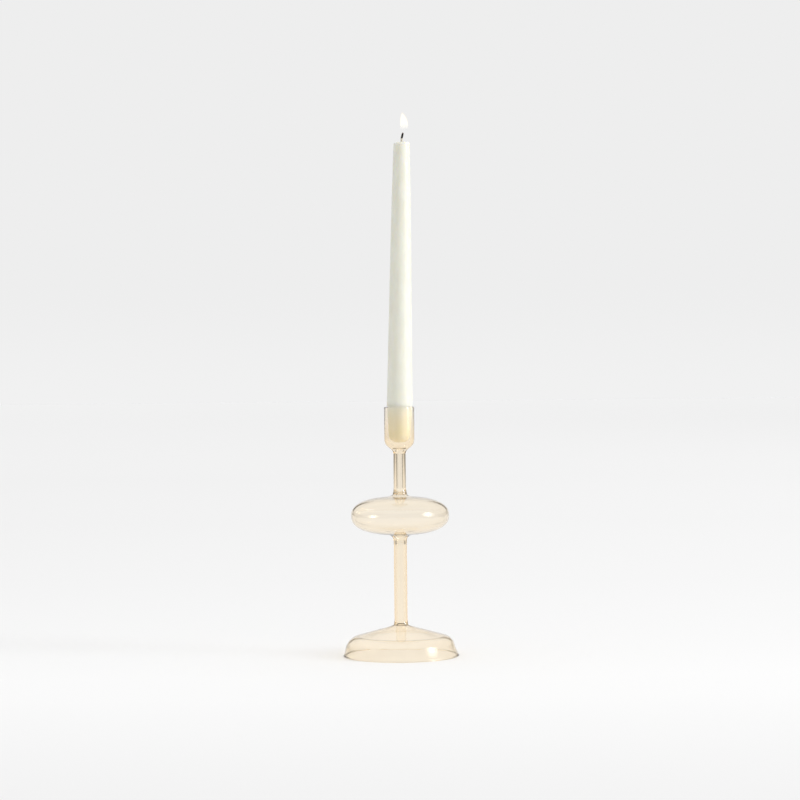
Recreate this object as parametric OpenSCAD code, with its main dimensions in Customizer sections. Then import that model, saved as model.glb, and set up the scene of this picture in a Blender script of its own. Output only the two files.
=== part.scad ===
// Glass candlestick with a burning taper candle.
// The holder is five hollow pieces of pale amber glass, flame-sealed end to end on one axis:
// a bell-shaped foot, a lower stem, a flattened oval bulb, an upper stem and a candle cup.
// The taper stands loose in the cup and leans a little; its wick runs through it from end to end.
// Millimetres. +Z is up. The origin is on the table, at the centre of the foot.

/* [Foot] */
// Diameter of the foot across its rim
foot_d = 97.6; // [90:0.2:106]
// Height of the foot, from the table to its seal with the lower stem
foot_h = 26; // [25:0.5:30]
// Wall thickness of the foot
foot_wall = 0.9; // [0.8:0.1:1.2]
// Width of the ground flat ring that the foot stands on
foot_land_w = 0.4; // [0.3:0.1:0.6]

/* [Stems] */
// Outer diameter of the lower stem
lower_stem_d = 11; // [10:0.1:12]
// Bore of the lower stem
lower_bore_d = 7; // [5:0.1:7.6]
// Length of the lower stem, from seal to seal
lower_stem_len = 71; // [50:1:100]
// Outer diameter of the upper stem
upper_stem_d = 10.4; // [9.6:0.1:11]
// Bore of the upper stem
upper_bore_d = 4.4; // [3:0.1:6]
// Length of the upper stem, from seal to seal
upper_stem_len = 33; // [20:1:50]

/* [Bulb] */
// Widest diameter of the bulb
bulb_d = 82.7; // [70:0.1:95]
// Height of the oval body, without its necks
bulb_body_h = 32.6; // [28:0.1:36]
// Squareness of the oval: 2 is an ellipse, more is fuller in the shoulders
bulb_square = 2.45; // [2:0.05:2.6]
// Wall thickness of the bulb
bulb_wall = 1.3; // [0.9:0.1:1.8]
// Height of the neck under the oval body, down to the lower seal
bulb_low_neck_h = 4.8; // [4.5:0.1:7]
// Height of the neck above the oval body, up to the upper seal
bulb_high_neck_h = 2.6; // [2.5:0.1:5]

/* [Candle cup] */
// Outer diameter of the cup
cup_d = 25.4; // [25:0.1:27]
// Height of the cup, from its seal with the upper stem to its rim
cup_h = 39.7; // [37:0.1:48]
// Inner diameter of the cup at its mouth
mouth_d = 23; // [22.8:0.1:23.4]
// Inner diameter of the cup at the foot of its tapered wall
seat_d = 19.8; // [19.6:0.1:20.4]
// Depth of the cup
cup_depth = 34.8; // [34:0.1:35.2]

/* [Candle] */
// Length of the wax body
candle_len = 253.7; // [150:0.1:300]
// Diameter of the candle where it leaves the cup
candle_d = 21.8; // [21.5:0.1:22]
// Diameter of the candle at its burning end
tip_d = 13.4; // [11:0.1:16]
// Diameter of the tapered butt at its bottom
butt_d = 18.5; // [18:0.1:19]
// Depth of the dished, melted top
pool_depth = 2.2; // [1:0.1:3]
// Lean of the candle in the loose fit of the cup, in degrees
candle_lean = 0.95; // [0:0.05:1]

/* [Wick] */
// Diameter of the braided wick
wick_d = 2; // [1.2:0.1:2.4]
// Length of straight wick that stands out above the bottom of the melted dish
wick_out = 5; // [4:0.1:10]
// Length of the charred tip beyond the bend
wick_tip = 4.4; // [2:0.1:6]
// Angle that the burnt wick bends over by, in degrees
wick_bend = 13; // [10:1:60]

/* [Hidden] */
$fn = 96;
amber = [0.95, 0.82, 0.58, 0.45];
wax_white = [0.93, 0.92, 0.86];
charred = [0.10, 0.09, 0.08];
curve_steps = 10;

// Seal planes, from the table up
foot_seal_z = foot_h;
bulb_low_z = foot_seal_z + lower_stem_len;
bulb_mid_z = bulb_low_z + bulb_low_neck_h + bulb_body_h / 2;
bulb_high_z = bulb_mid_z + bulb_body_h / 2 + bulb_high_neck_h;
cup_low_z = bulb_high_z + upper_stem_len;
rim_z = cup_low_z + cup_h;
floor_z = rim_z - cup_depth;

// Radii of the tube ends where they are sealed, and the length of the flare into each seal
foot_seal_r = lower_stem_d / 2 + 0.6;
bulb_low_seal_r = lower_stem_d / 2 + 0.2;
bulb_high_seal_r = upper_stem_d / 2 + 0.7;
flare_h = 4.5;

// Depth of the straight end of a blown piece's bore, and the wall under the bowl of the cup
bore_end = 0.6;
cup_floor_wall = 0.9;

// Rolled and fire-polished edges
foot_heel_r = 0.5;
foot_land_round = 0.3;
cup_rim_round = 0.6;

// The candle hangs by its tapered butt a little above the floor of the cup, and leans about its base
butt_len = 31;
floor_gap = 4.4;
butt_corner_h = 7.8;
tip_round = 1.3;
bend_r = 5;

// Points of a cubic Bezier curve through p[0] and p[3]
function cubic(p, n = curve_steps) = [for (i = [0:n]) let (t = i / n, s = 1 - t)
    s * s * s * p[0] + 3 * s * s * t * p[1] + 3 * s * t * t * p[2] + t * t * t * p[3]];

// Points of a circular arc about c, from angle a to angle b
function arc(c, r, a, b, n = 5) = [for (i = [0:n]) let (w = a + (b - a) * i / n)
    c + r * [cos(w), sin(w)]];

// The right half of a squared oval of half-widths a and b, from its bottom pole to its top pole,
// without the part that lies within radius clip of the axis
function oval(a, b, mid_z, clip, n = 40) = [for (i = [0:n])
    let (w = -90 + 180 * i / n, r = a * pow(cos(w), 2 / bulb_square))
    if (r > clip) [r, mid_z + sign(w) * b * pow(abs(sin(w)), 2 / bulb_square)]];

// A path moved sideways to its left by w, as the inside of a wall of even thickness
function beside(path, w) = [for (i = [0:len(path) - 1])
    let (along = path[min(i + 1, len(path) - 1)] - path[max(i - 1, 0)])
    path[i] + w * [-along[1], along[0]] / norm(along)];

function backwards(path) = [for (i = [len(path) - 1:-1:0]) path[i]];

// A turned solid between an outer path and an inner path that both climb the axis
module turned_wall(outside, inside) {
    rotate_extrude() polygon(concat(outside, backwards(inside)));
}

// Foot: a low thin-walled bell, open underneath, rounded at its rim to a narrow ground ring
module foot() {
    rim_r = foot_d / 2;
    heel = [rim_r - foot_heel_r, foot_heel_r];
    outer_rim = arc(heel, foot_heel_r, -90, 40);
    skirt_low = outer_rim[len(outer_rim) - 1];
    waist = [rim_r - 4, foot_h - 16];
    shoulder = [rim_r - 11.2, foot_h - 9.2];
    crown = [14.5, foot_h - 2.95];
    bore_r = lower_bore_d / 2;
    skirt = cubic([skirt_low, skirt_low + [-1.3, 1.7], waist + [0.8, -2.8], waist]);
    turn = cubic([waist, waist + [-0.8, 2.8], shoulder + [3.8, -1.1], shoulder]);
    slope = cubic([shoulder, shoulder + [-8.1, 2], crown + [8, -1.8], crown]);
    neck = cubic([crown, crown + [-2.8, 0.85], [foot_seal_r + 1.9, foot_h - 1], [foot_seal_r, foot_h]]);
    land_in = [heel[0] - foot_land_w, foot_land_round];
    inner_rim = arc(land_in, foot_land_round, -90, -180);
    wall_in = beside(concat(skirt, turn, slope, neck), foot_wall);
    inside = [for (p = wall_in) if (p[0] < land_in[0] - foot_land_round) p];
    color(amber) turned_wall(
        concat(outer_rim, skirt, turn, slope, neck),
        concat(inner_rim, inside, [[bore_r, foot_h - bore_end], [bore_r, foot_h]]));
}

// Lower stem: a straight tube that flares a little into the seal at each end
module lower_stem() {
    r = lower_stem_d / 2;
    bore_r = lower_bore_d / 2;
    low = foot_seal_z;
    high = bulb_low_z;
    color(amber) turned_wall(
        concat(cubic([[foot_seal_r, low], [foot_seal_r, low + 1], [r, low + 2], [r, low + flare_h]]),
            cubic([[r, high - flare_h], [r, high - 2], [bulb_low_seal_r, high - 1], [bulb_low_seal_r, high]])),
        [[bore_r, low], [bore_r, high]]);
}

// Bulb: a thin blown oval with a short neck at each pole, each bored like the stem it is sealed to
module bulb() {
    half_d = bulb_d / 2;
    half_h = bulb_body_h / 2;
    low_r = lower_bore_d / 2;
    high_r = upper_bore_d / 2;
    clip_r = 12;
    outside = oval(half_d, half_h, bulb_mid_z, clip_r);
    inside = oval(half_d - bulb_wall, half_h - bulb_wall, bulb_mid_z, clip_r - 1);
    from = outside[0];
    to = outside[len(outside) - 1];
    in_from = inside[0];
    in_to = inside[len(inside) - 1];
    low_neck = cubic([[bulb_low_seal_r, bulb_low_z], [bulb_low_seal_r, from[1] - 2.2],
        [bulb_low_seal_r + 2, from[1] - 0.5], from]);
    high_neck = cubic([to, [bulb_high_seal_r + 2, to[1] + 0.45],
        [bulb_high_seal_r, to[1] + 0.7], [bulb_high_seal_r, bulb_high_z]]);
    in_low_neck = cubic([[low_r, bulb_low_z], [low_r, in_from[1] - 3.4],
        [low_r + 2, in_from[1] - 0.8], in_from]);
    neck_in = beside(high_neck, bulb_wall);
    in_high_neck = concat(
        [for (p = neck_in) if (p[0] < in_to[0] - 0.2 && p[1] < bulb_high_z - 0.8) p],
        [[high_r, bulb_high_z - bore_end], [high_r, bulb_high_z]]);
    color(amber) turned_wall(
        concat(low_neck, outside, high_neck), concat(in_low_neck, inside, in_high_neck));
}

// Upper stem: a thicker-walled tube, narrower in its bore
module upper_stem() {
    r = upper_stem_d / 2;
    bore_r = upper_bore_d / 2;
    low = bulb_high_z;
    high = cup_low_z;
    color(amber) turned_wall(
        concat(cubic([[bulb_high_seal_r, low], [bulb_high_seal_r, low + 1], [r, low + 2], [r, low + flare_h]]),
            [[r, high]]),
        [[bore_r, low], [bore_r, high]]);
}

// Candle cup: a tapered socket with a thin round bottom, over a hollow funnel
module candle_cup() {
    out_r = cup_d / 2;
    mouth_r = mouth_d / 2;
    seat_r = seat_d / 2;
    stem_r = upper_stem_d / 2;
    bore_r = upper_bore_d / 2;
    corner_z = cup_low_z + 13;
    waist = [out_r - 4.1, cup_low_z + 5.2];
    funnel = cubic([[stem_r, cup_low_z], [stem_r, cup_low_z + 2.4], waist + [-2, -1.5], waist]);
    corner = cubic([waist, waist + [2.3, 1.7], [out_r, corner_z - 4.1], [out_r, corner_z]]);
    outer_lip = arc([out_r - cup_rim_round, rim_z - cup_rim_round], cup_rim_round, 0, 90);
    inner_lip = arc([mouth_r + cup_rim_round, rim_z - cup_rim_round], cup_rim_round, 90, 180);
    throat = [waist[0] - 2.2, floor_z + 2.3];
    bowl = cubic([[seat_r, floor_z + 9.8], [seat_r, floor_z + 5.4], throat + [2.2, 1.9], throat]);
    bottom = cubic([throat, throat + [-1.6, -1.4], [2.4, floor_z], [0, floor_z]]);
    roof = [for (p = backwards(beside(bottom, cup_floor_wall))) if (p[0] > 0.3 && p[0] < throat[0] - 0.8) p];
    tip = roof[len(roof) - 1];
    inner_funnel = cubic([tip, tip + [-1.2, -1.6], [bore_r, cup_low_z + 2.6], [bore_r, cup_low_z]]);
    color(amber) rotate_extrude() polygon(concat(
        [[0, floor_z - cup_floor_wall]], roof, inner_funnel,
        funnel, corner, outer_lip, inner_lip, bowl, bottom));
}

// Places the candle and its wick in the cup, with the lean
module in_cup() {
    translate([0, 0, floor_z + floor_gap]) rotate([0, candle_lean, 0]) children();
}

// Taper candle: a tapered butt, a long slender body and a dished top, with a bore for the wick
module taper_candle() {
    r = candle_d / 2;
    butt_r = butt_d / 2;
    tip_r = tip_d / 2;
    top = candle_len;
    butt = cubic([[wick_d / 2, 0], [butt_r - 4, 0], [butt_r, 2.3], [butt_r, butt_corner_h]]);
    body = cubic([[r, butt_len], [r - 1.36, butt_len + 80], [tip_r + 1.6, top - 42], [tip_r, top - tip_round]], 24);
    edge = arc([tip_r - tip_round, top - tip_round], tip_round, 0, 90);
    dish_r = tip_r - tip_round - 0.3;
    dish = cubic([[dish_r, top - 0.1], [dish_r - 0.8, top - 1.4], [3.2, top - pool_depth],
        [wick_d / 2, top - pool_depth]]);
    color(wax_white) in_cup() rotate_extrude()
        polygon(concat(butt, body, edge, dish));
}

// Wick: straight through the candle, then bent over where it has burnt
module wick() {
    bend_z = candle_len - pool_depth + wick_out;
    color(charred) in_cup() {
        cylinder(d = wick_d, h = bend_z);
        translate([bend_r, 0, bend_z]) rotate([90, 0, 0])
            rotate_extrude(angle = -wick_bend) translate([-bend_r, 0]) circle(d = wick_d, $fn = 32);
        translate([bend_r, 0, bend_z]) rotate([0, wick_bend, 0]) translate([-bend_r, 0, 0])
            cylinder(d1 = wick_d, d2 = wick_d * 0.7, h = wick_tip);
    }
}

foot();
lower_stem();
bulb();
upper_stem();
candle_cup();
taper_candle();
wick();
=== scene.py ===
"""A lampworked amber glass candlestick with a lit taper candle: its looks, built round the CAD model.

Outlines are in millimetres, worked out from the boxes of the CAD nodes and a few named proportions.
Meshes, materials and lights are in metres.
"""
import math

import bmesh
import bpy
from mathutils import Matrix, Vector, noise


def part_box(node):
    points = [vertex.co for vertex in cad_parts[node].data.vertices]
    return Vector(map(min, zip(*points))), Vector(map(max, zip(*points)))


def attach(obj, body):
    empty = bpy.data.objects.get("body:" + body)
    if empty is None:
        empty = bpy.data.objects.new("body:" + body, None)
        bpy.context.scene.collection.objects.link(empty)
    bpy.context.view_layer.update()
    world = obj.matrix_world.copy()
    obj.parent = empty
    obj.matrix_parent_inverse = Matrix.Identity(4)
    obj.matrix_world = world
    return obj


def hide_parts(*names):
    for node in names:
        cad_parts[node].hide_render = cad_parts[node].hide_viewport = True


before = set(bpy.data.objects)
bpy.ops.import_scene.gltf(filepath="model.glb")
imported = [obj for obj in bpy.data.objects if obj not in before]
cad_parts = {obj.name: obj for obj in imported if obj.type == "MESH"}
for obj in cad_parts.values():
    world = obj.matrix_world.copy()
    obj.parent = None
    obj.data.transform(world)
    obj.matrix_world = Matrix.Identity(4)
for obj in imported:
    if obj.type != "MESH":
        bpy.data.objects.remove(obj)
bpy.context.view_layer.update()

MM = 0.001           # metres in a millimetre
TURNS = 224          # facets round a turned piece
SEAL_GAP = 0.02      # hairline between two sealed glass pieces, mm


def radius_and_top(node):
    """Radius and highest point of a turned CAD node, in millimetres."""
    low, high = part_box(node)
    return (high[1] - low[1]) / 2 / MM, high[2] / MM


foot_r, foot_top = radius_and_top("foot")
lower_flare_r, lower_top = radius_and_top("lower_stem")
bulb_r, bulb_top = radius_and_top("bulb")
upper_flare_r, upper_top = radius_and_top("upper_stem")
cup_r, rim_z = radius_and_top("candle_cup")

# ---------------------------------------------------------------- the camera

EYE_DISTANCE = 1748.0                # mm in front of the axis
EYE_HEIGHT = 215.6                   # mm over the floor
EYE_RIGHT = 0.85                     # mm to the right of the axis
LENS = 93.2                          # focal length on a sensor 36 mm wide
CAMERA_ROLL = math.radians(0.54)


def make_camera():
    """A level camera at about the height of the cup's rim, far off, with a long lens."""
    data = bpy.data.cameras.new("camera")
    data.lens = LENS
    data.sensor_width = 36.0
    data.clip_end = 2000.0
    camera = bpy.data.objects.new("camera", data)
    camera.location = (EYE_RIGHT * MM, -EYE_DISTANCE * MM, EYE_HEIGHT * MM)
    camera.rotation_euler = (math.radians(90), CAMERA_ROLL, 0)
    bpy.context.scene.collection.objects.link(camera)
    bpy.context.scene.camera = camera


# ---------------------------------------------------------------- shapes

def cubic(p0, p1, p2, p3, steps=18):
    """Points of a cubic Bezier curve, both ends included."""
    path = []
    for i in range(steps + 1):
        t = i / steps
        s = 1 - t
        weights = (s ** 3, 3 * s * s * t, 3 * s * t * t, t ** 3)
        path.append(tuple(sum(w * p[k] for w, p in zip(weights, (p0, p1, p2, p3))) for k in (0, 1)))
    return path


def curve(start, leave, arrive, end, steps=18):
    """A cubic Bezier curve whose two handles are given as offsets from its ends."""
    first = (start[0] + leave[0], start[1] + leave[1])
    second = (end[0] + arrive[0], end[1] + arrive[1])
    return cubic(start, first, second, end, steps)


def arc(centre, radius, start, end, steps=8):
    """Points of a circular arc, from one angle to another in degrees."""
    path = []
    for i in range(steps + 1):
        a = math.radians(start + (end - start) * i / steps)
        path.append((centre[0] + radius * math.cos(a), centre[1] + radius * math.sin(a)))
    return path


def oval(half_w, half_h, mid_z, squareness, clip, steps=150):
    """The right half of a squared oval, from bottom to top, without what lies within clip of the axis."""
    path = []
    for i in range(steps + 1):
        a = math.radians(-90 + 180 * i / steps)
        r = half_w * max(math.cos(a), 0) ** (2 / squareness)
        z = mid_z + math.copysign(half_h * abs(math.sin(a)) ** (2 / squareness), a)
        if r > clip:
            path.append((r, z))
    return path


def beside(path, width):
    """The path moved to its left by width: the inside of a wall of even thickness."""
    moved = []
    for i, (r, z) in enumerate(path):
        before = path[max(i - 1, 0)]
        after = path[min(i + 1, len(path) - 1)]
        along = Vector((after[0] - before[0], after[1] - before[1])).normalized()
        moved.append((r - width * along.y, z + width * along.x))
    return moved


def without_repeats(path):
    """The path with each point that repeats the one before it left out."""
    kept = [path[0]]
    for point in path[1:]:
        if math.dist(point, kept[-1]) > 1e-4:
            kept.append(point)
    return kept


def mesh_object(name, bm, material):
    """An object from a bmesh in metres, smooth, with edges over 40 degrees kept sharp."""
    bm.normal_update()
    for face in bm.faces:
        face.smooth = True
    for edge in bm.edges:
        if len(edge.link_faces) == 2 and edge.calc_face_angle(0) > math.radians(40):
            edge.smooth = False
    mesh = bpy.data.meshes.new(name)
    bm.to_mesh(mesh)
    bm.free()
    mesh.materials.append(material)
    made = bpy.data.objects.new(name, mesh)
    bpy.context.scene.collection.objects.link(made)
    return made


def lathe(name, outline, material, hand=None, turns=TURNS):
    """A solid turned about the Z axis from a closed outline in millimetres.

    The outline runs with the solid on its left. One that starts and ends on the axis is closed by it.
    hand(r, z, angle) gives how far a point of a hand-made piece is out of place, in millimetres:
    sideways and upwards.
    """
    outline = without_repeats(outline)
    on_axis = outline[0][0] == 0
    if not on_axis and math.dist(outline[0], outline[-1]) < 1e-4:
        outline.pop()
    bm = bmesh.new()
    rings = []
    for r, z in outline:
        ring = []
        for k in range(turns if r else 1):
            a = 2 * math.pi * k / turns
            dr, dz = hand(r, z, a) if hand else (0, 0)
            place = Vector(((r + dr) * math.cos(a), (r + dr) * math.sin(a), z + dz))
            ring.append(bm.verts.new(place * MM))
        rings.append(ring)
    pairs = list(zip(rings, rings[1:]))
    if not on_axis:
        pairs.append((rings[-1], rings[0]))
    for low, high in pairs:
        for k in range(turns):
            j = (k + 1) % turns
            corners = [low[k % len(low)], low[j % len(low)], high[j % len(high)], high[k % len(high)]]
            bm.faces.new(list(dict.fromkeys(corners)))
    return mesh_object(name, bm, material)


# ---------------------------------------------------------------- material nodes

def new_material(name):
    """An empty node material, its node tree and its output node."""
    material = bpy.data.materials.new(name)
    material.use_nodes = True
    tree = material.node_tree
    tree.nodes.clear()
    return material, tree, tree.nodes.new("ShaderNodeOutputMaterial")


def socket_of(node, key):
    """An input of a node: by its number, as in0 or in1, or by its name, with _ for a space."""
    if key.startswith("in") and key[2:].isdigit():
        return node.inputs[int(key[2:])]
    return node.inputs[key.replace("_", " ")]


def add(tree, kind, settings=None, **inputs):
    """A node with its settings and inputs set; an input that is a socket is linked."""
    made = tree.nodes.new("ShaderNode" + kind)
    for key, value in (settings or {}).items():
        setattr(made, key, value)
    for key, value in inputs.items():
        socket = socket_of(made, key)
        if isinstance(value, bpy.types.NodeSocket):
            tree.links.new(value, socket)
        else:
            socket.default_value = value
    return made


def maths(tree, operation, *values):
    """The result of a Math node. MULTIPLY_ADD is the first value times the second, plus the third."""
    numbered = {"in%d" % i: value for i, value in enumerate(values)}
    return add(tree, "Math", {"operation": operation}, **numbered).outputs[0]


def between(tree, value, low, high, to_low=0.0, to_high=1.0):
    """value mapped from low..high to to_low..to_high by a smooth step, clamped."""
    ranged = add(tree, "MapRange", {"interpolation_type": "SMOOTHSTEP"}, Value=value)
    for key, number in (("From Min", low), ("From Max", high), ("To Min", to_low), ("To Max", to_high)):
        ranged.inputs[key].default_value = number
    return ranged.outputs["Result"]


def mixed(tree, factor, a, b):
    """Colour a where factor is 0 and colour b where it is 1."""
    return add(tree, "Mix", {"data_type": "RGBA"}, in0=factor, in6=a, in7=b).outputs[2]


def own_place(tree):
    """The point in the piece's own frame, in metres."""
    return add(tree, "TexCoord").outputs["Object"]


def own_height(tree):
    """The height of the point in the piece's own frame, in metres."""
    return add(tree, "SeparateXYZ", Vector=own_place(tree)).outputs["Z"]


def mottling(tree, per_metre, detail, roughness=0.5):
    """Noise from 0 to 1, with so many cells in a metre along each axis."""
    place = add(tree, "Mapping", Vector=own_place(tree), Scale=per_metre).outputs["Vector"]
    cloud = add(tree, "TexNoise", Vector=place, Scale=1.0, Detail=detail, Roughness=roughness)
    return cloud.outputs["Fac"]


def bumps(tree, height, strength, distance):
    """The surface's direction with bumps on it, distance metres high at full strength."""
    return add(tree, "Bump", Height=height, Strength=strength, Distance=distance).outputs["Normal"]


# ---------------------------------------------------------------- materials

GLASS_IOR = 1.47
GLASS_TINT = (0.99, 0.66, 0.05, 1)
WAX_IOR = 1.44
WAX_OWN_COLOUR = ((0.805, 0.80, 0.70, 1), (0.835, 0.835, 0.75, 1))
# Painted amber light: the butt's warmer colour stands in for light coming through the amber glass
WAX_PAINTED_AMBER_LIGHT = ((0.815, 0.78, 0.63, 1), (0.845, 0.815, 0.675, 1))
WAX_PAINTED_AMBER_LIGHT_TO = (0.016, 0.034)         # heights between which the painted amber light on the butt fades to the wax's own colour, m
CHAR_EDGE = 0.0012                   # height over which the wick turns from yarn to char, m
EMBER_H = 0.0012                     # height of the ember at the tip of the wick, m


def amber_glass(name, density):
    """Clear borosilicate glass, tinted through its depth, with faint draw lines and a polished ripple."""
    material, tree, out = new_material(name)
    ripple = mottling(tree, (90, 90, 45), 2.0)
    lines = mottling(tree, (900, 900, 12), 1.0, 0.4)
    normal = bumps(tree, maths(tree, "MULTIPLY_ADD", lines, 0.06, ripple), 1.0, 0.00001)
    polish = between(tree, ripple, 0.35, 0.75, 0.0, 0.02)
    shader = add(tree, "BsdfPrincipled", Base_Color=(1, 1, 1, 1), Roughness=polish, IOR=GLASS_IOR,
                 Transmission_Weight=1.0, Normal=normal)
    depth = add(tree, "VolumeAbsorption", Color=GLASS_TINT, Density=density)
    tree.links.new(shader.outputs[0], out.inputs["Surface"])
    tree.links.new(depth.outputs[0], out.inputs["Volume"])
    return material


def candle_wax():
    """Ivory-white wax: satin, a little translucent, softly mottled and dipped, with painted amber light on
    its butt, as if lit through the glass.
    """
    material, tree, out = new_material("candle_wax")
    mottle = mottling(tree, (160, 160, 60), 4.0, 0.6)
    marks = mottling(tree, (260, 260, 22), 2.0)
    grain = mottling(tree, (2400, 2400, 2400), 2.0, 0.6)
    tone = between(tree, mottle, 0.35, 0.7)
    # Painted amber light on the butt, which fades to the wax's own colour over these heights
    own_colour_share = between(tree, own_height(tree), *WAX_PAINTED_AMBER_LIGHT_TO)
    colour = mixed(tree, own_colour_share, mixed(tree, tone, *WAX_PAINTED_AMBER_LIGHT), mixed(tree, tone, *WAX_OWN_COLOUR))
    normal = bumps(tree, maths(tree, "MULTIPLY_ADD", grain, 0.12, marks), 0.8, 0.00012)
    satin = between(tree, mottle, 0.3, 0.75, 0.36, 0.5)
    shader = add(tree, "BsdfPrincipled", Base_Color=colour, Roughness=satin, IOR=WAX_IOR,
                 Subsurface_Weight=0.55, Subsurface_Radius=(1.0, 0.85, 0.6), Subsurface_Scale=0.004,
                 Normal=normal)
    tree.links.new(shader.outputs[0], out.inputs["Surface"])
    return material


def molten_wax():
    """The clear warm pool of melted wax round the wick."""
    material, tree, out = new_material("molten_wax")
    swirl = mottling(tree, (300, 300, 300), 1.0)
    colour = mixed(tree, swirl, (0.97, 0.93, 0.80, 1), (1.0, 0.98, 0.92, 1))
    shader = add(tree, "BsdfPrincipled", Base_Color=colour, Roughness=0.04, IOR=WAX_IOR,
                 Transmission_Weight=0.75, Normal=bumps(tree, swirl, 0.5, 0.00005))
    tree.links.new(shader.outputs[0], out.inputs["Surface"])
    return material


def wick_cotton(char_z, tip_z):
    """Waxed cotton below char_z, crisp black char above it, and an ember at tip_z, heights in metres."""
    material, tree, out = new_material("wick_cotton")
    up = own_height(tree)
    fibre = mottling(tree, (4000, 4000, 900), 3.0)
    ragged = maths(tree, "MULTIPLY_ADD", fibre, CHAR_EDGE, up)
    burnt = between(tree, ragged, char_z, char_z + CHAR_EDGE)
    yarn = mixed(tree, fibre, (0.62, 0.56, 0.46, 1), (0.88, 0.84, 0.74, 1))
    soot = mixed(tree, fibre, (0.006, 0.005, 0.005, 1), (0.03, 0.026, 0.024, 1))
    ember = maths(tree, "MULTIPLY", between(tree, up, tip_z - EMBER_H, tip_z), 0.12)
    shader = add(tree, "BsdfPrincipled", Base_Color=mixed(tree, burnt, yarn, soot), Roughness=0.85,
                 Normal=bumps(tree, fibre, 0.8, 0.0001), Emission_Color=(1.0, 0.22, 0.04, 1),
                 Emission_Strength=ember)
    tree.links.new(shader.outputs[0], out.inputs["Surface"])
    return material


def flame_light(name, colour, strength, clear_z, full_z, opacity):
    """Glowing gas: see-through below clear_z, densest above full_z, heights in metres over its foot."""
    material, tree, out = new_material(name)
    waver = mottling(tree, (220, 220, 90), 1.0)
    lifted = maths(tree, "MULTIPLY_ADD", waver, 0.002, own_height(tree))
    dense = between(tree, lifted, clear_z, full_z, 0.0, opacity)
    gas = add(tree, "Emission", Color=colour, Strength=strength)
    clear = add(tree, "BsdfTransparent")
    shader = add(tree, "MixShader", in0=dense, in1=clear.outputs[0], in2=gas.outputs[0])
    tree.links.new(shader.outputs[0], out.inputs["Surface"])
    return material


# ---------------------------------------------------------------- the glass, in millimetres

HEEL_R = 0.5                         # round outside of the foot's rim
LAND_W = 0.4                         # width of the ring that the foot stands on
LAND_ROUND = 0.3                     # round inside of the foot's rim
FOOT_WALL = 0.9
SKIRT_FULLER = 1.3                   # how much fuller the foot's skirt is on the left
SKIRT_Z = 8.0                        # height where it is fullest
SKIRT_H = 5.0                        # height over which that fades
LOWER_R = lower_flare_r - 0.6
LOWER_BORE = 3.5
UPPER_R = upper_flare_r - 0.7
UPPER_BORE = 2.2
BORE_END = 0.6                       # straight end of a bore that opens into a neck
FLARE_H = 4.5                        # height of a stem's flare at its seal
BULB_SEAL_LOW = LOWER_R + 0.2
BULB_BODY_H = 32.6
BULB_LOW_NECK = 4.8
BULB_SQUARE = 2.45                   # 2 would make the bulb's side view an ellipse
BULB_WALL = 1.3
BULB_CLIP = 12.0                     # radius where the bulb's body turns into its necks
MOUTH_R = 11.5
SEAT_R = 9.9
CUP_DEPTH = 34.8
CUP_BOTTOM = 0.9
FLOOR_GAP = 4.4                      # the candle hangs this far over the bottom of the cup
LIP_ROUND = 0.6


def blown(amount, size, seed):
    """The slow unevenness of a blown piece: amount in mm, over stretches of about size mm."""
    def hand(r, z, a):
        where = Vector((math.cos(a) * r / size, math.sin(a) * r / size, z / size + seed))
        return amount * noise.noise(where), 0.0
    return hand


def blown_fuller_left(amount, size, seed):
    """The unevenness of the foot, whose skirt is also a little fuller on the left."""
    uneven = blown(amount, size, seed)

    def hand(r, z, a):
        leftness = max(0.0, -math.cos(a)) ** 2
        fuller = leftness * math.exp(-((z - SKIRT_Z) / SKIRT_H) ** 2)
        return uneven(r, z, a)[0] + SKIRT_FULLER * fuller, 0.0
    return hand


def foot_outline():
    """Outline of the bell-shaped foot: a thin wall with a rounded rim, and a neck with an open bore."""
    top = foot_top - SEAL_GAP
    heel = (foot_r - HEEL_R, HEEL_R)
    waist = (foot_r - 4.0, foot_top - 16.0)
    shoulder = (foot_r - 11.2, foot_top - 9.2)
    crown = (14.5, foot_top - 2.95)
    rim = arc(heel, HEEL_R, -90, 40)
    outside = curve(rim[-1], (-1.3, 1.7), (0.8, -2.8), waist)
    outside += curve(waist, (-0.8, 2.8), (3.8, -1.1), shoulder)
    outside += curve(shoulder, (-8.1, 2.0), (8.0, -1.8), crown)
    outside += curve(crown, (-2.8, 0.85), (1.9, -1.0), (lower_flare_r, top))
    inner_rim = arc((heel[0] - LAND_W, LAND_ROUND), LAND_ROUND, -90, -180)
    inside = [p for p in beside(outside, FOOT_WALL) if p[0] < inner_rim[-1][0]]
    bore = [(LOWER_BORE, top - BORE_END), (LOWER_BORE, top)]
    return rim + outside + (inner_rim + inside + bore)[::-1]


def lower_stem_outline():
    """Outline of the lower stem: a tube that flares into the seal at each end."""
    low = foot_top + SEAL_GAP
    high = lower_top - SEAL_GAP
    outside = curve((lower_flare_r, low), (0, 1), (0, -2.5), (LOWER_R, low + FLARE_H))
    outside += curve((LOWER_R, high - FLARE_H), (0, 2.5), (0, -1), (BULB_SEAL_LOW, high))
    return outside + [(LOWER_BORE, high), (LOWER_BORE, low)]


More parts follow.
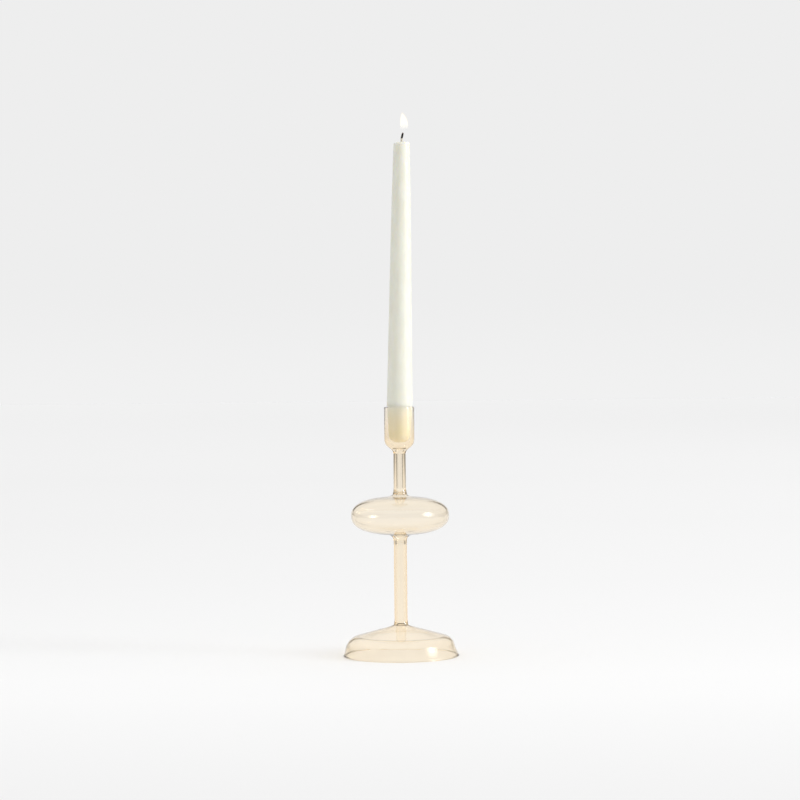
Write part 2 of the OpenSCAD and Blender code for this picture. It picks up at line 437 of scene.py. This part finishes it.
def bulb_outline():
    """Outline of the thin oval bulb and its two short necks, whose walls flare with the glass outside."""
    low = lower_top + SEAL_GAP
    high = bulb_top - SEAL_GAP
    half_h = BULB_BODY_H / 2
    mid = lower_top + BULB_LOW_NECK + half_h
    outer = oval(bulb_r, half_h, mid, BULB_SQUARE, BULB_CLIP)
    inner = oval(bulb_r - BULB_WALL, half_h - BULB_WALL, mid, BULB_SQUARE, BULB_CLIP - 1)
    base, top = outer[0], outer[-1]
    low_neck = cubic((BULB_SEAL_LOW, low), (BULB_SEAL_LOW, base[1] - 2.2),
                     (BULB_SEAL_LOW + 2, base[1] - 0.5), base)
    high_neck = cubic(top, (upper_flare_r + 2, top[1] + 0.45),
                      (upper_flare_r, top[1] + 0.7), (upper_flare_r, high))
    in_base, in_top = inner[0], inner[-1]
    in_low = cubic((LOWER_BORE, low), (LOWER_BORE, in_base[1] - 3.4),
                   (LOWER_BORE + 2, in_base[1] - 0.8), in_base)
    in_high = [p for p in beside(high_neck, BULB_WALL) if p[0] < in_top[0] - 0.2 and p[1] < high - 0.8]
    bore = [(UPPER_BORE, high - BORE_END), (UPPER_BORE, high)]
    return low_neck + outer + high_neck + (in_low + inner + in_high + bore)[::-1]


def upper_stem_outline():
    """Outline of the upper stem: a tube with a thicker wall, flared into the seal on the bulb."""
    low = bulb_top + SEAL_GAP
    high = upper_top - SEAL_GAP
    outside = curve((upper_flare_r, low), (0, 1), (0, -2.5), (UPPER_R, low + FLARE_H))
    return outside + [(UPPER_R, high), (UPPER_BORE, high), (UPPER_BORE, low)]


def cup_outline():
    """Outline of the candle cup, whose closed round bottom lies over a hollow funnel.

    It runs from the axis under the bottom down the funnel's bore, up outside and back inside to the axis.
    """
    low = upper_top + SEAL_GAP
    floor = rim_z - CUP_DEPTH
    waist = (cup_r - 4.1, upper_top + 5.2)
    throat = (waist[0] - 2.2, floor + 2.3)
    funnel = curve((UPPER_R, low), (0, 2.4), (-2, -1.5), waist)
    shoulder = curve(waist, (2.3, 1.7), (0, -4.1), (cup_r, upper_top + 13))
    outer_lip = arc((cup_r - LIP_ROUND, rim_z - LIP_ROUND), LIP_ROUND, 0, 90)
    inner_lip = arc((MOUTH_R + LIP_ROUND, rim_z - LIP_ROUND), LIP_ROUND, 90, 180)
    bowl = curve((SEAT_R, floor + 9.8), (0, -4.4), (2.2, 1.9), throat)
    bottom = curve(throat, (-1.6, -1.4), (2.4, 0), (0, floor))
    roof = [p for p in beside(bottom, CUP_BOTTOM)[::-1] if 0.3 < p[0] < throat[0] - 0.8]
    bore = curve(roof[-1], (-1.2, -1.6), (0, 2.6), (UPPER_BORE, low))
    start = (0, floor - CUP_BOTTOM)
    return [start] + roof + bore + funnel + shoulder + outer_lip + inner_lip + bowl + bottom


def make_glass():
    """The five glass pieces, each in place of its CAD node and tinted as its own tube is."""
    pieces = (
        ("foot", "blown_foot", foot_outline(), blown_fuller_left(0.10, 26, 3.0), 172),
        ("lower_stem", "drawn_lower_stem", lower_stem_outline(), blown(0.02, 20, 11.0), 94),
        ("bulb", "blown_bulb", bulb_outline(), blown(0.12, 24, 7.0), 100),
        ("upper_stem", "drawn_upper_stem", upper_stem_outline(), blown(0.02, 20, 17.0), 55),
        ("candle_cup", "blown_candle_cup", cup_outline(), blown(0.03, 12, 23.0), 68),
    )
    for node, name, outline, hand, density in pieces:
        piece = lathe(name, outline, amber_glass("amber_glass_" + node, density), hand)
        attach(piece, "holder")
        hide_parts(node)


# ---------------------------------------------------------------- the candle, in millimetres

LEAN = math.radians(0.95)
CANDLE_LEN = 253.7
CANDLE_R = 10.9                      # where the candle is thickest, at the top of its butt
BUTT_LEN = 31.0
BUTT_R = 9.25
BUTT_CORNER_H = 7.8
TIP_R = 6.7
TIP_ROUND = 1.3
DISH_DEPTH = 2.2                     # melted dish in the top of the candle
POOL_R = 4.3
POOL_Z = CANDLE_LEN - 1.0            # surface of the melted pool
POOL_DEPTH = 0.95
WICK_R = 1.0
WICK_OUT = 5.0                       # straight stretch over the dish
WICK_BEND = math.radians(13)
BEND_R = 5.0
WICK_TIP = 4.4                       # straight stretch past the bend
CHAR_Z = CANDLE_LEN + 3.4
STRAND_R = 0.47
PLAIT_WIDE = 0.46                    # how far a strand swings across the bend
PLAIT_DEEP = 0.24                    # how far it swings along the bend's axis
PLAITS = 4.5
STRAND_SIDES = 12
MANTLE_H = 21.2
MANTLE_Z = CANDLE_LEN + 4.6
HEART_H = MANTLE_H - 1.6
HEART_Z = MANTLE_Z + 0.4


def lean_in_cup():
    """Where the candle's own frame lies: its origin is the middle of its base, and it leans about that."""
    base = rim_z - CUP_DEPTH + FLOOR_GAP
    return Matrix.Translation((0, 0, base * MM)) @ Matrix.Rotation(LEAN, 4, "Y")


def with_candle(piece):
    """Places a piece that was made in the candle's own frame, and makes it move with the candle."""
    piece.matrix_world = lean_in_cup()
    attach(piece, "candle")


def candle_outline():
    """Outline of the wax body, from the axis at its base to the axis in its dished top."""
    top = CANDLE_LEN
    dish_r = TIP_R - TIP_ROUND - 0.3
    butt = curve((0, 0), (5.2, 0), (0, -5.5), (BUTT_R, BUTT_CORNER_H))
    body = curve((CANDLE_R, BUTT_LEN), (-1.36, 80), (1.6, -40.7), (TIP_R, top - TIP_ROUND), 90)
    edge = arc((TIP_R - TIP_ROUND, top - TIP_ROUND), TIP_ROUND, 0, 90)
    dish = curve((dish_r, top - 0.1), (-0.8, -1.3), (3.2, 0), (0, top - DISH_DEPTH))
    return butt + body + edge + dish


def wax_unevenness(r, z, a):
    """Slow unevenness of a dipped candle, and a rim that has melted a little lower on one side."""
    side = 0.10 * noise.noise(Vector((math.cos(a), math.sin(a), z / 34)))
    near_top = max(0.0, (z - CANDLE_LEN + 6) / 6)
    outer = min(r / TIP_R, 1.0)
    sag = 0.45 * near_top * outer * math.cos(a - math.radians(20)) if r > 3 else 0.0
    wobble = 0.15 * near_top * noise.noise(Vector((math.cos(a) * 2, math.sin(a) * 2, 5)))
    return side * min(r / 6, 1), sag + wobble


def pool_outline():
    """Outline of the melted pool, from the axis at its bed to the axis within the wick."""
    bed = curve((0, POOL_Z - POOL_DEPTH), (2.6, 0), (-0.6, -0.61), (POOL_R, POOL_Z + 0.06))
    surface = curve((POOL_R, POOL_Z + 0.12), (-0.7, -0.14), (1.2, -0.32), (WICK_R, POOL_Z + 0.3))
    return bed + surface + [(0, POOL_Z + 0.3)]


def wick_path(steps=60):
    """Centre line of the wick above the dish: for each point its share of the length, the point and
    the direction across the bend."""
    base = CANDLE_LEN - DISH_DEPTH
    bend_len = BEND_R * WICK_BEND
    total = WICK_OUT + bend_len + WICK_TIP
    path = []
    for i in range(steps + 1):
        s = total * i / steps
        turned = min(max(s - WICK_OUT, 0) / BEND_R, WICK_BEND)
        beyond = max(s - WICK_OUT - bend_len, 0)
        x = BEND_R * (1 - math.cos(turned)) + beyond * math.sin(turned)
        z = base + min(s, WICK_OUT) + BEND_R * math.sin(turned) + beyond * math.cos(turned)
        path.append((s / total, Vector((x, 0, z)), Vector((math.cos(turned), 0, -math.sin(turned)))))
    return path


def strand_ring(bm, strand, share, centre, across):
    """One ring of a strand of the wick, which swells with char above the middle and thins at the tip."""
    phase = 2 * math.pi * (PLAITS * share + strand / 3)
    fray = 1 + 0.25 * max(0, share - 0.5)
    thin = 1 - 0.55 * max(0, share - 0.8) / 0.2
    rough = 1 + 0.12 * noise.noise(centre * 2.3 + Vector((strand * 5, 0, 0)))
    swing = across * (PLAIT_WIDE * fray * math.sin(phase))
    spine = centre + swing + Vector((0, PLAIT_DEEP * math.sin(2 * phase), 0))
    ring = []
    for k in range(STRAND_SIDES):
        a = 2 * math.pi * k / STRAND_SIDES
        out = across * math.cos(a) + Vector((0, math.sin(a), 0))
        ring.append(bm.verts.new((spine + out * (STRAND_R * thin * rough)) * MM))
    return ring


def make_wick(material):
    """A plaited wick of three strands."""
    bm = bmesh.new()
    for strand in range(3):
        rings = [strand_ring(bm, strand, *station) for station in wick_path()]
        for low, high in zip(rings, rings[1:]):
            for k in range(STRAND_SIDES):
                j = (k + 1) % STRAND_SIDES
                bm.faces.new((low[k], low[j], high[j], high[k]))
        bm.faces.new(rings[0])
        bm.faces.new(rings[-1])
    bmesh.ops.recalc_face_normals(bm, faces=bm.faces)
    return mesh_object("braided_wick", bm, material)


def make_flame_shell(name, height, widest, foot_z, material):
    """A teardrop of glowing gas that stands over the wick and bends back over the candle."""
    side = cubic((0.35, 0.05), (widest * 1.15, height * 0.12), (widest * 1.6, height * 0.72),
                 (0.25, height * 0.985), 40)
    shell = lathe(name, [(0, 0)] + side + [(0, height)], material, turns=64)
    for vertex in shell.data.vertices:
        up = vertex.co.z / (height * MM)
        vertex.co.x += (1.3 + 4.2 * up - 5.2 * up * up) * MM
    shell.matrix_world = lean_in_cup() @ Matrix.Translation((0, 0, foot_z * MM))
    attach(shell, "candle")


def make_candle():
    """The wax body, its melted pool, the wick and the flame."""
    body = lathe("wax_taper", candle_outline(), candle_wax(), wax_unevenness)
    with_candle(body)
    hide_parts("taper_candle")

    pool = lathe("melted_pool", pool_outline(), molten_wax(), turns=96)
    with_candle(pool)

    _, wick_end, _ = wick_path()[-1]
    wick = make_wick(wick_cotton(CHAR_Z * MM, wick_end.z * MM))
    with_candle(wick)
    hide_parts("wick")

    mantle = flame_light("flame_mantle", (1.0, 0.93, 0.82, 1), 1.0, 0.0065, 0.015, 0.35)
    heart = flame_light("flame_heart", (1.0, 0.98, 0.90, 1), 1.2, 0.007, 0.015, 0.95)
    make_flame_shell("flame_mantle", MANTLE_H, 3.3, MANTLE_Z, mantle)
    make_flame_shell("flame_heart", HEART_H, 3.0, HEART_Z, heart)


# ---------------------------------------------------------------- the studio, in metres

FLOOR_R = 400.0
FLOOR_SIDE_PAINTED_SHADE = 0.42                    # share of its colour that the floor keeps far to the sides, a painted shade
# Painted light and shade: the floor's colour along its depth, from far in front to far behind
FLOOR_PAINTED_LIGHT_AND_SHADE = ((0.0, 0.785), (0.30, 0.817), (0.35, 0.857), (0.40, 0.887), (0.44, 0.892),
                (0.52, 0.877), (0.61, 0.866), (0.66, 0.861), (0.71, 0.854), (0.83, 0.851),
                (0.90, 0.869), (0.96, 0.917), (1.0, 0.940))


def make_floor():
    """A pale table top with painted shade far to the sides and painted light and shade along its depth.

    A point y metres deep lies at 0.5 + 0.5 y / (|y| + 1) of the ramp.
    """
    material, tree, out = new_material("studio_floor")
    place = add(tree, "SeparateXYZ", Vector=own_place(tree))
    deep = place.outputs["Y"]
    aside = maths(tree, "ABSOLUTE", place.outputs["X"])
    # Painted shade: the floor's colour darkens far to the sides
    side = between(tree, maths(tree, "MULTIPLY_ADD", deep, -0.25, aside), 1.0, 2.6, 1.0, FLOOR_SIDE_PAINTED_SHADE)
    share = maths(tree, "DIVIDE", deep, maths(tree, "ADD", maths(tree, "ABSOLUTE", deep), 1.0))
    # Painted light and shade along the floor's depth
    ramp = add(tree, "ValToRGB", Fac=maths(tree, "MULTIPLY_ADD", share, 0.5, 0.5))
    stops = ramp.color_ramp.elements
    while len(stops) < len(FLOOR_PAINTED_LIGHT_AND_SHADE):
        stops.new(0.5)
    for stop, (position, shade) in zip(stops, FLOOR_PAINTED_LIGHT_AND_SHADE):
        stop.position = position
        stop.color = (shade, shade, shade, 1)
    shade = maths(tree, "MULTIPLY", ramp.outputs["Color"], side)
    grey = add(tree, "CombineColor", Red=shade, Green=shade, Blue=shade).outputs[0]
    shader = add(tree, "BsdfPrincipled", Base_Color=grey, Roughness=0.5, Specular_IOR_Level=0.0)
    tree.links.new(shader.outputs[0], out.inputs["Surface"])
    bm = bmesh.new()
    bmesh.ops.create_circle(bm, cap_ends=True, radius=FLOOR_R, segments=96)
    mesh_object("studio_floor", bm, material)


# Shades of what stands round the table
HORIZON = 0.880                      # the backdrop at the height of the table
BACKDROP = 0.855                     # the backdrop higher up
CORNER = 0.12                        # the dark corners, which draw the outlines of the glass
STRIP = 0.42
BACK_WALL = 0.84
FRONT_WALL = 0.66
CEILING = 1.05
BACKDROP_EDGE = (0.95, 0.963)        # how far back a direction points at the edge of the backdrop


def make_world():
    """A pale backdrop between dark corners, dim strips low at the sides, pale walls, a bright ceiling."""
    world = bpy.data.worlds.new("studio")
    bpy.context.scene.world = world
    world.use_nodes = True
    tree = world.node_tree
    tree.nodes.clear()

    def grey(shade):
        return (shade, shade, shade, 1)

    way = add(tree, "SeparateXYZ", Vector=add(tree, "TexCoord").outputs["Generated"])
    up = way.outputs["Z"]
    back = way.outputs["Y"]
    aside = maths(tree, "ABSOLUTE", way.outputs["X"])
    room = mixed(tree, between(tree, back, -0.3, 0.3), grey(FRONT_WALL), grey(BACK_WALL))
    strip = maths(tree, "MULTIPLY", between(tree, up, 0.12, 0.22, 1.0, 0.0), between(tree, back, 0.1, 0.3))
    strip = maths(tree, "MULTIPLY", strip, between(tree, back, 0.86, 0.93, 1.0, 0.0))
    room = mixed(tree, strip, room, grey(STRIP))
    room = mixed(tree, between(tree, up, 0.45, 0.7), room, grey(CEILING))
    ring = maths(tree, "MULTIPLY", between(tree, back, 0.88, 0.895),
                 between(tree, back, *BACKDROP_EDGE, 1.0, 0.0))
    corner = maths(tree, "MULTIPLY", between(tree, aside, 0.10, 0.20), between(tree, up, 0.08, 0.15))
    room = mixed(tree, maths(tree, "MULTIPLY", corner, ring), room, grey(CORNER))
    shade = between(tree, up, 0.0, 0.058, HORIZON, BACKDROP)
    screen = add(tree, "CombineColor", Red=shade, Green=shade, Blue=shade).outputs[0]
    seen = mixed(tree, between(tree, back, *BACKDROP_EDGE), room, screen)
    light = add(tree, "Background", Color=seen, Strength=1.0)
    out = tree.nodes.new("ShaderNodeOutputWorld")
    tree.links.new(light.outputs[0], out.inputs["Surface"])


WINDOW_AZIMUTH = math.radians(18)    # from +X towards the viewer
WINDOW_HEIGHT = 2.85
# Name, distance, width, height and radiance of each layer, which together fade towards their edge
WINDOW_LAYERS = (
    ("window_core", 9.0, 2.4, 3.0, 12.8),
    ("window_edge", 9.1, 4.3, 5.5, 2.6),
    ("window_glow", 9.2, 6.0, 7.6, 1.3),
)


def make_window():
    """One large soft light on the right, which looks straight across: layered ovals, brightest inside."""
    a = WINDOW_AZIMUTH
    for name, distance, width, height, radiance in WINDOW_LAYERS:
        data = bpy.data.lights.new(name, "AREA")
        data.shape = "ELLIPSE"
        data.size = width
        data.size_y = height
        data.energy = radiance * math.pi * math.pi / 4 * width * height
        lamp = bpy.data.objects.new(name, data)
        lamp.location = (distance * math.cos(a), -distance * math.sin(a), WINDOW_HEIGHT)
        aim = Vector((0, 0, WINDOW_HEIGHT)) - lamp.location
        lamp.rotation_euler = aim.to_track_quat("-Z", "Y").to_euler()
        lamp.visible_camera = False
        bpy.context.scene.collection.objects.link(lamp)


def make_studio():
    """Floor, surroundings, light, and the light paths and tones that clear glass needs."""
    make_floor()
    make_world()
    make_window()
    scene = bpy.context.scene
    scene.view_settings.view_transform = "Standard"
    scene.cycles.max_bounces = 32
    scene.cycles.transmission_bounces = 32
    scene.cycles.transparent_max_bounces = 32
    scene.cycles.blur_glossy = 0.0
    scene.cycles.sample_clamp_indirect = 0.0


make_camera()
make_studio()
make_glass()
make_candle()
